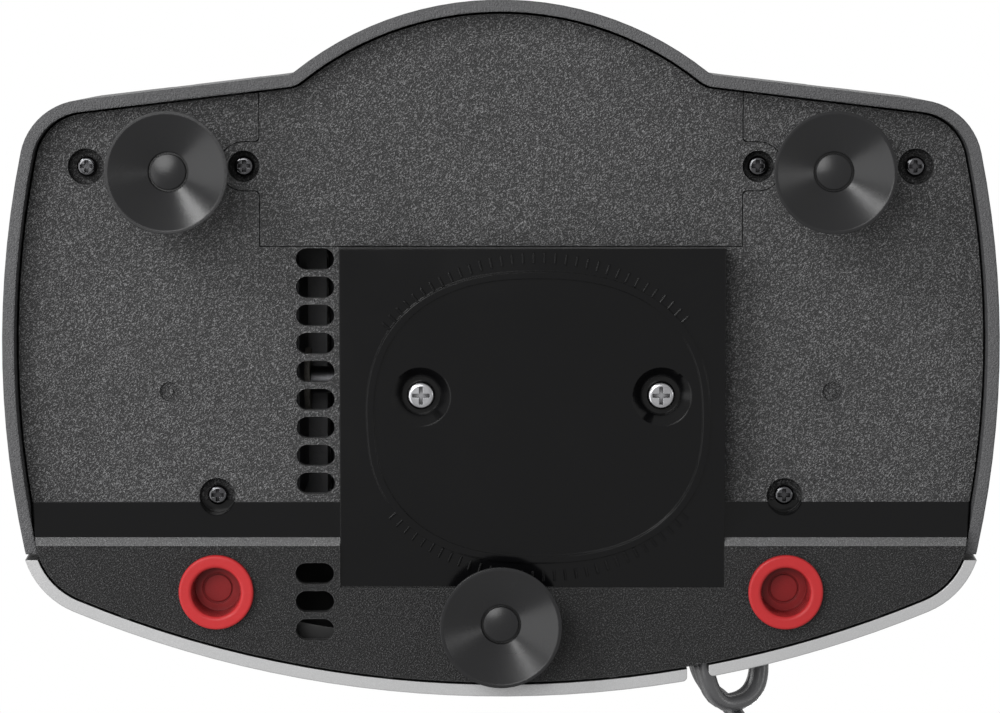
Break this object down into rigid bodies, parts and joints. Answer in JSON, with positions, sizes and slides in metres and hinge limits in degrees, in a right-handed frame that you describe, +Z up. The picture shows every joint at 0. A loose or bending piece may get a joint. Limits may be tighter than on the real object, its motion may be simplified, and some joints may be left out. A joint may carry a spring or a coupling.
{
  "type": "electric knife sharpener",
  "caption": "Two-stage electric knife sharpener with slanted blade slots, spring-floated grinding wheels on one motor shaft, rocker switch, suction feet, grit plugs and a mains cord.",
  "frame": {"origin": "on the table plane, below the middle of the body's plan outline, cord left out", "axes": "+Z up, -Y towards the user and the switch, +X to the user's right"},
  "size_m": [0.2112, 0.2586, 0.108],
  "materials": {
    "dark_shell": "fine satin grain",
    "silver_panel": "silver satin paint",
    "base_black": "spark-eroded grain with smooth bands",
    "badge_silver": "brushed silver film",
    "guide_grey": "fine grain",
    "foot_rubber": "smooth glossy",
    "plug_red": "soft satin",
    "screw_zinc": "zinc plated",
    "dark_steel": "laminated steel",
    "bright_steel": "ground",
    "wheel_abrasive": "abrasive coated",
    "bobbin_white": "moulded",
    "copper": "enamelled copper wire",
    "die_cast": "die cast",
    "bronze": "sintered bronze",
    "fan_plastic": "moulded",
    "seal_felt": "felt",
    "chamber_black": "moulded",
    "switch_black": "polished",
    "brass_tabs": "stamped",
    "cord_black": "soft ribbed",
    "lead_black": "smooth",
    "lead_white": "smooth",
    "connector_white": "moulded"
  },
  "bodies": {
    "housing": {"rear_housing": "dark_shell", "front_panel": "silver_panel", "base_plate": "base_black", "rear_access_panel": "base_black", "crown_badge": "badge_silver", "stage_1_blade_guide": "guide_grey", "stage_2_blade_guide": "guide_grey", "left_grit_chamber": "chamber_black", "right_grit_chamber": "chamber_black", "left_shaft_seal": "seal_felt", "right_shaft_seal": "seal_felt", "front_suction_foot": "foot_rubber", "rear_left_suction_foot": "foot_rubber", "rear_right_suction_foot": "foot_rubber", "case_screws": "screw_zinc", "panel_screws": "screw_zinc", "motor_screws": "screw_zinc", "clamp_screws": "screw_zinc", "stack_bolts": "screw_zinc", "motor_grommets": "foot_rubber", "stator_stack": "dark_steel", "coil_bobbin": "bobbin_white", "coil_winding": "copper", "shading_rings": "copper", "left_bearing_bracket": "die_cast", "right_bearing_bracket": "die_cast", "left_bearing": "bronze", "right_bearing": "bronze", "switch_bezel": "switch_black", "switch_body": "switch_black", "switch_terminals": "brass_tabs", "power_cord": "cord_black", "cord_coil": "cord_black", "cord_tie": "lead_black", "cord_plug": "cord_black", "plug_blades": "brass_tabs", "strain_relief": "cord_black", "cord_clamp": "chamber_black", "line_lead": "lead_black", "neutral_lead": "lead_white", "switch_lead": "lead_black", "wire_connectors": "connector_white"},
    "rotor": {"motor_shaft": "bright_steel", "rotor_core": "dark_steel", "cooling_fan": "fan_plastic", "shaft_clips": "dark_steel", "stage_1_wheel_spring": "bright_steel", "stage_2_wheel_spring": "bright_steel"},
    "stage_1_outer_wheel": {"stage_1_outer_wheel": "wheel_abrasive"},
    "stage_1_inner_wheel": {"stage_1_inner_wheel": "wheel_abrasive"},
    "stage_2_outer_wheel": {"stage_2_outer_wheel": "wheel_abrasive"},
    "stage_2_inner_wheel": {"stage_2_inner_wheel": "wheel_abrasive"},
    "power_rocker": {"power_rocker": "switch_black"},
    "left_grit_plug": {"left_grit_plug": "plug_red"},
    "right_grit_plug": {"right_grit_plug": "plug_red"}
  },
  "joints": [
    {"name": "rotor_spin", "type": "hinge", "parent": "housing", "child": "rotor", "pos_m": [0, -0.0097, 0.046], "axis": [1, 0, 0], "continuous": true},
    {"name": "stage_1_outer_wheel_float", "type": "slide", "parent": "rotor", "child": "stage_1_outer_wheel", "axis": [1, 0, 0], "range_m": [0, 0.0012], "stiffness_N_per_m": 400, "springref_m": -0.003, "deforming": ["stage_1_wheel_spring"]},
    {"name": "stage_1_inner_wheel_float", "type": "slide", "parent": "rotor", "child": "stage_1_inner_wheel", "axis": [-1, 0, 0], "range_m": [0, 0.0012], "stiffness_N_per_m": 400, "springref_m": -0.003, "deforming": ["stage_1_wheel_spring"]},
    {"name": "stage_2_outer_wheel_float", "type": "slide", "parent": "rotor", "child": "stage_2_outer_wheel", "axis": [-1, 0, 0], "range_m": [0, 0.0012], "stiffness_N_per_m": 400, "springref_m": -0.003, "deforming": ["stage_2_wheel_spring"]},
    {"name": "stage_2_inner_wheel_float", "type": "slide", "parent": "rotor", "child": "stage_2_inner_wheel", "axis": [1, 0, 0], "range_m": [0, 0.0012], "stiffness_N_per_m": 400, "springref_m": -0.003, "deforming": ["stage_2_wheel_spring"]},
    {"name": "power_rocker_tilt", "type": "hinge", "parent": "housing", "child": "power_rocker", "pos_m": [0, -0.05962, 0.03348], "axis": [1, 0, 0], "range_deg": [0, 16]},
    {"name": "left_grit_plug_pull", "type": "slide", "parent": "housing", "child": "left_grit_plug", "axis": [0, 0, -1], "range_m": [0, 0.018]},
    {"name": "right_grit_plug_pull", "type": "slide", "parent": "housing", "child": "right_grit_plug", "axis": [0, 0, -1], "range_m": [0, 0.018]}
  ]
}
